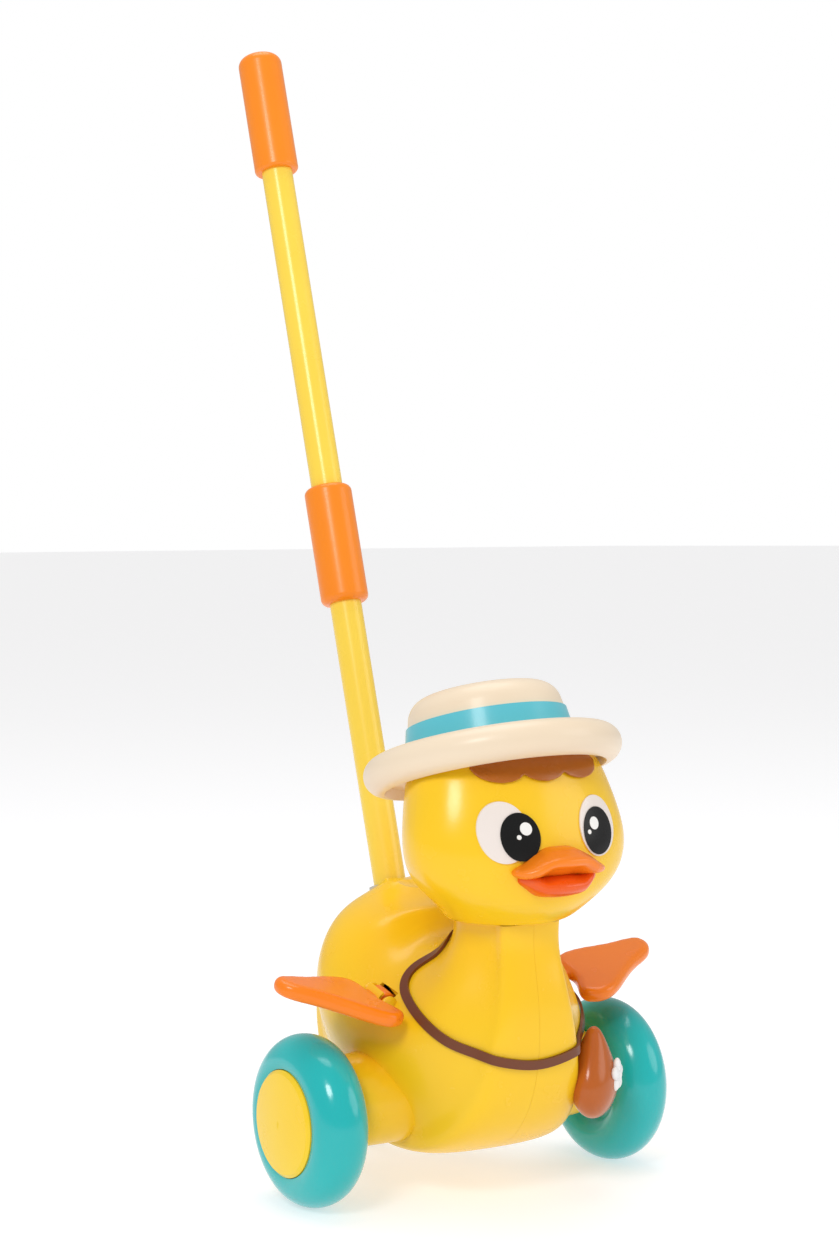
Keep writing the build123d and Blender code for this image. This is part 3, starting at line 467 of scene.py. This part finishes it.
lumps = []
for number in range(petal_count):
    angle = math.radians(first_petal + 360 / petal_count * number)
    petal = ball((0, 0, 0), petal_half, small_ball_segments)
    petal.rotation_euler = (0, math.pi / 2 - angle, 0)
    petal.location = (petal_radius * math.cos(angle), 0, petal_radius * math.sin(angle))
    lumps.append(petal)
core = ball(core_place, core_half, small_ball_segments)
lumps.append(core)
nothing_selected()
for lump in lumps:
    lump.select_set(True)
bpy.context.view_layer.objects.active = core
bpy.ops.object.transform_apply(location=True, rotation=True, scale=True)
bpy.ops.object.join()
flower = bpy.context.object
flower.rotation_euler = (0, 0, bag_turn)
flower.location = on_bag(flower_across, flower_out, flower_up)
settle(flower, "flower_button", flower_white, "base", "white_plastic", "bag_button")


# Wing hinges: curved walls round each knuckle and ears over its pin, for looks only

hinge_pitch = math.radians(15)
hinge_way = Vector((0, math.cos(hinge_pitch), math.sin(hinge_pitch)))
knuckle_half = 6.3 * mm
ear_half = in_mm(4.6, 2.2, 4.0)
ear_beyond = 2.4 * mm
ear_outward = 1.2 * mm
cup_radius = 5.05 * mm
cup_wall = 1.2 * mm
cup_start = math.radians(58)
cup_sweep = math.radians(100)
cup_steps = 20
cup_crease = math.radians(35)


def hinge_middle(side):
    """Middle of a wing's hinge pin."""
    pin_low, pin_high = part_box("wing_pin_" + side)
    return (pin_low + pin_high) / 2


def hinge_ear(side, way, end):
    """Rounded ear over one end of a hinge pin."""
    ear = ball((0, 0, 0), ear_half, small_ball_segments)
    ear.rotation_euler = (hinge_pitch, 0, 0)
    along = hinge_way * end * (knuckle_half + ear_beyond)
    ear.location = hinge_middle(side) + along + Vector((way * ear_outward, 0, 0))
    name = "hinge_ear_" + side + ("_rear" if end > 0 else "_front")
    settle(ear, name, body_yellow, "base", "yellow_plastic")


def hinge_cup(side, way, above):
    """Curved wall over or under the knuckle, which leaves the slot partly open."""
    nothing_selected()
    bpy.ops.mesh.primitive_plane_add(size=1)
    cup = bpy.context.object
    cup.scale = (cup_wall, 2 * knuckle_half, 1)
    cup.location = (cup_radius + cup_wall / 2, 0, 0)
    bpy.ops.object.transform_apply(location=True, rotation=True, scale=True)
    bpy.ops.object.mode_set(mode="EDIT")
    bpy.ops.mesh.select_all(action="SELECT")
    bpy.ops.mesh.spin(steps=cup_steps, angle=cup_sweep, center=(0, 0, 0), axis=(0, -1, 0))
    bpy.ops.mesh.select_all(action="DESELECT")
    bpy.ops.mesh.select_non_manifold()
    bpy.ops.mesh.edge_face_add()
    bpy.ops.object.mode_set(mode="OBJECT")
    cup.rotation_euler = (0, -cup_start, 0)
    bpy.ops.object.transform_apply(location=True, rotation=True, scale=True)
    cup.scale = (way, 1, above)
    bpy.ops.object.transform_apply(location=True, rotation=True, scale=True)
    bpy.ops.object.mode_set(mode="EDIT")
    bpy.ops.mesh.select_all(action="SELECT")
    bpy.ops.mesh.normals_make_consistent(inside=False)
    bpy.ops.object.mode_set(mode="OBJECT")
    cup.rotation_euler = (hinge_pitch, 0, 0)
    cup.location = hinge_middle(side)
    name = "hinge_cup_" + side + ("_upper" if above > 0 else "_lower")
    settle(cup, name, body_yellow, "base", "yellow_plastic")
    bpy.ops.object.shade_smooth_by_angle(angle=cup_crease)


for side, way in (("left", 1), ("right", -1)):
    for end in (1, -1):
        hinge_ear(side, way, end)
        hinge_cup(side, way, end)


# Camera

camera_azimuth = math.radians(32.12)
camera_elevation = math.radians(2.82)
camera_distance = 1.30744
camera_aside = -0.021957
camera_height = 0.277625
camera_lens = 74.95
camera_sensor = 36
camera_reach = 20

back = Vector((
    -math.sin(camera_azimuth) * math.cos(camera_elevation),
    -math.cos(camera_azimuth) * math.cos(camera_elevation),
    math.sin(camera_elevation),
))
right = Vector((math.cos(camera_azimuth), -math.sin(camera_azimuth), 0))
camera_data = bpy.data.cameras.new("camera")
camera_data.lens = camera_lens
camera_data.sensor_width = camera_sensor
camera_data.sensor_fit = "AUTO"
camera_data.clip_end = camera_reach
camera = bpy.data.objects.new("camera", camera_data)
bpy.context.scene.collection.objects.link(camera)
camera.location = (
    right * camera_aside + Vector((0, axle_y, camera_height)) + back * camera_distance
)
camera.rotation_euler = (-back).to_track_quat("-Z", "Y").to_euler()
bpy.context.scene.camera = camera


# Lights

light_target = (0, axle_y, 0.15)
plain_light = (1, 1, 1)
warm_light = (1, 0.99, 0.97)


def soft_light(name, place, size, power, colour):
    """Round softbox aimed at the toy."""
    data = bpy.data.lights.new(name, "AREA")
    data.shape = "DISK"
    data.size = size
    data.energy = power
    data.color = colour
    light = bpy.data.objects.new(name, data)
    bpy.context.scene.collection.objects.link(light)
    light.location = place
    light.rotation_euler = (Vector(light_target) - Vector(place)).to_track_quat("-Z", "Y").to_euler()


soft_light("key", place=(-1.5, -1.3, 1.7), size=0.75, power=21.0, colour=warm_light)
soft_light("fill", place=(1.7, -1.5, 1.0), size=1.4, power=9.0, colour=plain_light)
soft_light("top", place=(0.1, 0.3, 2.1), size=1.5, power=14.0, colour=plain_light)


# World: dim all round, and plain white where the camera sees it

ambient_strength = 0.54
paper_strength = 1.0
world_white = (1, 1, 1, 1)

world = bpy.data.worlds.new("studio")
bpy.context.scene.world = world
world.use_nodes = True
sky = world.node_tree
ambient = sky.nodes["Background"]
ambient.inputs["Color"].default_value = world_white
ambient.inputs["Strength"].default_value = ambient_strength
paper_white = sky.nodes.new("ShaderNodeBackground")
paper_white.inputs["Color"].default_value = world_white
paper_white.inputs["Strength"].default_value = paper_strength
ray = sky.nodes.new("ShaderNodeLightPath")
seen = sky.nodes.new("ShaderNodeMixShader")
sky.links.new(ray.outputs["Is Camera Ray"], seen.inputs["Fac"])
sky.links.new(ambient.outputs["Background"], seen.inputs[1])
sky.links.new(paper_white.outputs["Background"], seen.inputs[2])
sky.links.new(seen.outputs["Shader"], sky.nodes["World Output"].inputs["Surface"])


# Floor

floor_size = 30
floor_colour = (0.56, 0.565, 0.58, 1)
floor_roughness = 0.6
floor_shine = 0.2
floor_glow = (1, 0.99, 0.985, 1)
floor_glow_strength = 0.55

nothing_selected()
bpy.ops.mesh.primitive_plane_add(size=floor_size, location=(0, 0, 0))
floor = bpy.context.object
floor.name = "floor"
floor_paper = bpy.data.materials.new("floor_paper")
floor_paper.use_nodes = True
floor_shader = floor_paper.node_tree.nodes["Principled BSDF"]
floor_shader.inputs["Base Color"].default_value = floor_colour
floor_shader.inputs["Roughness"].default_value = floor_roughness
floor_shader.inputs["Specular IOR Level"].default_value = floor_shine
floor_shader.inputs["Emission Color"].default_value = floor_glow
floor_shader.inputs["Emission Strength"].default_value = floor_glow_strength
paint(floor, floor_paper)

bpy.context.scene.view_settings.view_transform = "Standard"
bpy.context.scene.view_settings.look = "None"
